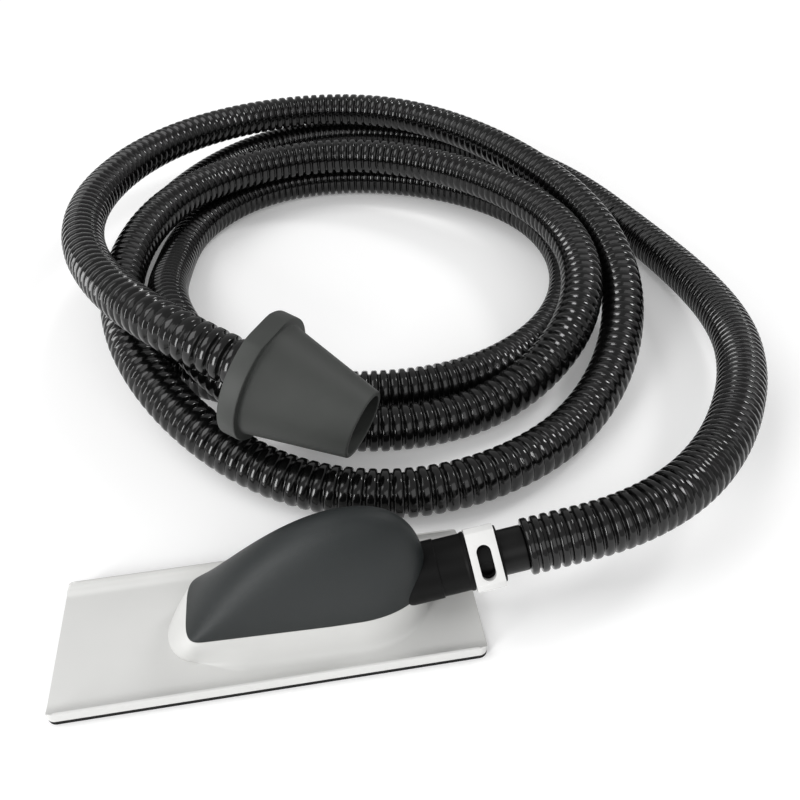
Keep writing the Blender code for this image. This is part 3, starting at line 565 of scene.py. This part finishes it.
neck_over = np.array((-math.sin(neck_tilt), 0, math.cos(neck_tilt)))
bleed_angle = math.radians(28)
bleed_out = np.array((0, -math.cos(bleed_angle), 0)) + neck_over * math.sin(bleed_angle)
bleed_place = neck_root + neck_axis * BLEED_DISTANCE
bleed_profile = ((BLEED_RADIUS, BLEED_CUT_START), (BLEED_RADIUS, BLEED_CUT_END))
cut_through(neck, turned_rings(bleed_place, bleed_out, bleed_profile, 32), BLEED_EDGE)


# Cuff: a plain sleeve of moulded black plastic that joins the neck and the hose. It is pushed into the
# neck's socket, and its spigot is glued into the hose.
CUFF_START = 0.0496
CUFF_STEP = 0.0852
CUFF_RADIUS = 0.0127
CUFF_BORE_RADIUS = 0.009
SPIGOT_END = 0.1070
SPIGOT_RADIUS = 0.0088
SPIGOT_BORE_RADIUS = 0.0072
cuff_profile = ((CUFF_BORE_RADIUS, CUFF_START), (CUFF_RADIUS, CUFF_START), (CUFF_RADIUS, CUFF_END),
                (SPIGOT_RADIUS, CUFF_END), (SPIGOT_RADIUS, SPIGOT_END), (SPIGOT_BORE_RADIUS, SPIGOT_END),
                (SPIGOT_BORE_RADIUS, CUFF_END), (CUFF_BORE_RADIUS, CUFF_STEP))
cuff_black = moulded_finish("cuff_black", colour=(0.005, 0.005, 0.005), roughness=0.36, shine=0.2,
                            grain=0.0007, depth=0.00003)
cuff_rings = turned_rings(neck_root, neck_axis, eased(cuff_profile, TUBE_EDGE))
cuff = dress(ring_mesh("smooth_cuff", cuff_rings, "loop"), cuff_black, "sander", "cuff_black", "hose_cuff")


# Cone adapter: one moulding of dark grey rubber. Its thick flange has one flat on its edge, and
# its tapered body is pushed over the nozzle of a vacuum cleaner.
FLANGE_RADIUS = 0.0415
FLANGE_FLAT = 0.0392
CONE_LENGTH = 0.0642
CONE_BASE_RADIUS = 0.0365
CONE_TIP_RADIUS = 0.022
CONE_WALL = 0.003
CONE_FLOOR = 0.001
CONE_EDGE = 0.0012
HOSE_HOLE_RADIUS = 0.0163
cone_profile = ((HOSE_HOLE_RADIUS, -FLANGE_THICKNESS), (FLANGE_RADIUS, -FLANGE_THICKNESS),
                (FLANGE_RADIUS, 0), (CONE_BASE_RADIUS, 0), (CONE_TIP_RADIUS, CONE_LENGTH),
                (CONE_TIP_RADIUS - CONE_WALL, CONE_LENGTH), (CONE_BASE_RADIUS - CONE_WALL, CONE_FLOOR),
                (HOSE_HOLE_RADIUS, CONE_FLOOR))
cone_rings = turned_rings(cone_front, cone_axis, eased(cone_profile, CONE_EDGE), 144)
cone_up = np.array((0, 0, 1)) - cone_axis * cone_axis[2]
cone_up /= np.linalg.norm(cone_up)
# What stands higher than the flat is pressed down to it.
over_flat = np.maximum((cone_rings - cone_front) @ cone_up - FLANGE_FLAT, 0)
cone_rings = cone_rings - over_flat[..., None] * cone_up
cone_grey = moulded_finish("cone_grey", colour=(0.044, 0.047, 0.044), roughness=0.55, shine=0.35,
                           grain=0.0008, depth=0.00004, drift=0.12)
cone_mesh = ring_mesh("rubber_cone", cone_rings, "loop", sharp_degrees=30)
cone = dress(cone_mesh, cone_grey, "sander", "cone_grey", "cone_adapter")


# Collar: a square ring of white satin plastic with broken edges that turns on its seat. Its slot,
# cut through one side, opens or covers the bleed hole in the neck.
COLLAR_START = 0.0555
COLLAR_WIDTH = 0.016
COLLAR_HALF = 0.01725
COLLAR_CHAMFER = 0.003
COLLAR_BORE = 0.0153
SLOT_WIDTH = 0.008
SLOT_LENGTH = 0.0193
COLLAR_EDGE = 0.0004
flat_angle = math.radians(53)
flat_out = np.array((0, -math.cos(flat_angle), 0)) + neck_over * math.sin(flat_angle)
flat_along = np.cross(neck_axis, flat_out)
slot_turn = math.radians(9)
slot_out = flat_out * math.cos(slot_turn) + flat_along * math.sin(slot_turn)
slot_along = np.cross(neck_axis, slot_out)
collar_middle = neck_root + neck_axis * (COLLAR_START + COLLAR_WIDTH / 2)


def square_ring(turn):
    """Reach of the collar's outside at an angle from its front flat: the nearest of the four
    flats and the four corner cuts."""
    flats = np.max(np.abs((np.cos(turn), np.sin(turn))), axis=0) / COLLAR_HALF
    cuts = (np.abs(np.cos(turn)) + np.abs(np.sin(turn))) / (2 * COLLAR_HALF - COLLAR_CHAMFER)
    return 1 / np.maximum(flats, cuts)


corner_turn = math.atan2(COLLAR_HALF - COLLAR_CHAMFER, COLLAR_HALF)
quarter = np.concatenate((np.linspace(-corner_turn, corner_turn, 9), (math.pi / 4,)))
collar_turn = (quarter + math.pi / 2 * np.arange(4)[:, None]).ravel()
collar_bore = np.full_like(collar_turn, COLLAR_BORE)
collar_outside = square_ring(collar_turn)
collar_reach = np.stack((collar_bore, collar_outside, collar_outside, collar_bore))
collar_axial = np.broadcast_to(COLLAR_WIDTH / 2 * np.array((-1, -1, 1, 1))[:, None], collar_reach.shape)
collar_rings = (collar_middle + np.multiply.outer(collar_reach * np.cos(collar_turn), flat_out)
                + np.multiply.outer(collar_reach * np.sin(collar_turn), flat_along)
                + np.multiply.outer(collar_axial, neck_axis))
collar_white = moulded_finish("collar_white", colour=(0.68, 0.68, 0.67), roughness=0.36, shine=0.5,
                              grain=0.0006, depth=0.00002, drift=0.02, gloss_drift=0.05)
collar = dress(ring_mesh("slotted_collar", collar_rings, "loop"), collar_white, "collar", "collar_white",
               "bleed_collar")
round_slot = np.linspace(0, 2 * math.pi, 64, endpoint=False)
end_shift = (SLOT_LENGTH - SLOT_WIDTH) / 2 * np.sign(np.cos(round_slot))
slot_rim = (collar_middle + np.multiply.outer(SLOT_WIDTH / 2 * np.cos(round_slot) + end_shift, slot_along)
            + np.multiply.outer(SLOT_WIDTH / 2 * np.sin(round_slot), neck_axis))
cut_through(collar, np.stack((slot_rim, slot_rim + 2 * COLLAR_HALF * slot_out)), COLLAR_EDGE)


# Sole: a black foam pad glued under the plate and, under it, the hook sheet that the abrasive clings to.
# Both are cut from sheet to the plate's outline and pierced with the same holes for suction.
def refinish(node, finish):
    """Give a solid that stays in view a finish in place of its plain colour."""
    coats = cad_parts[node].data.materials
    coats.clear()
    coats.append(finish)


sole_black = moulded_finish("sole_black", colour=(0.012, 0.012, 0.012), roughness=0.85, shine=0.2,
                            grain=0.0005, depth=0.0001)
hook_black = moulded_finish("hook_black", colour=(0.010, 0.010, 0.010), roughness=0.95, shine=0.2,
                            grain=0.0004, depth=0.0003)
refinish("sole_pad", sole_black)
refinish("hook_sheet", hook_black)


# Screws: four zinc-plated steel screws. They come up out of the chamber through its roof and pull the
# grip down on the pedestal, so they are hidden while the sole is on.
screw_steel = moulded_finish("screw_steel", colour=(0.55, 0.55, 0.56), roughness=0.32, shine=0.5,
                             grain=0.0004, depth=0.00002)
screw_steel.node_tree.nodes["Principled BSDF"].inputs["Metallic"].default_value = 1
for number in range(1, 5):
    refinish(f"grip_screw_{number}", screw_steel)


# End sleeve: a short tube of black plastic pressed into the far end of the hose. It keeps the hose round
# where the rubber cone grips it, and is hidden inside the cone.
sleeve_black = moulded_finish("sleeve_black", colour=(0.007, 0.007, 0.007), roughness=0.4, shine=0.3,
                              grain=0.0007, depth=0.00003)
refinish("hose_end_sleeve", sleeve_black)
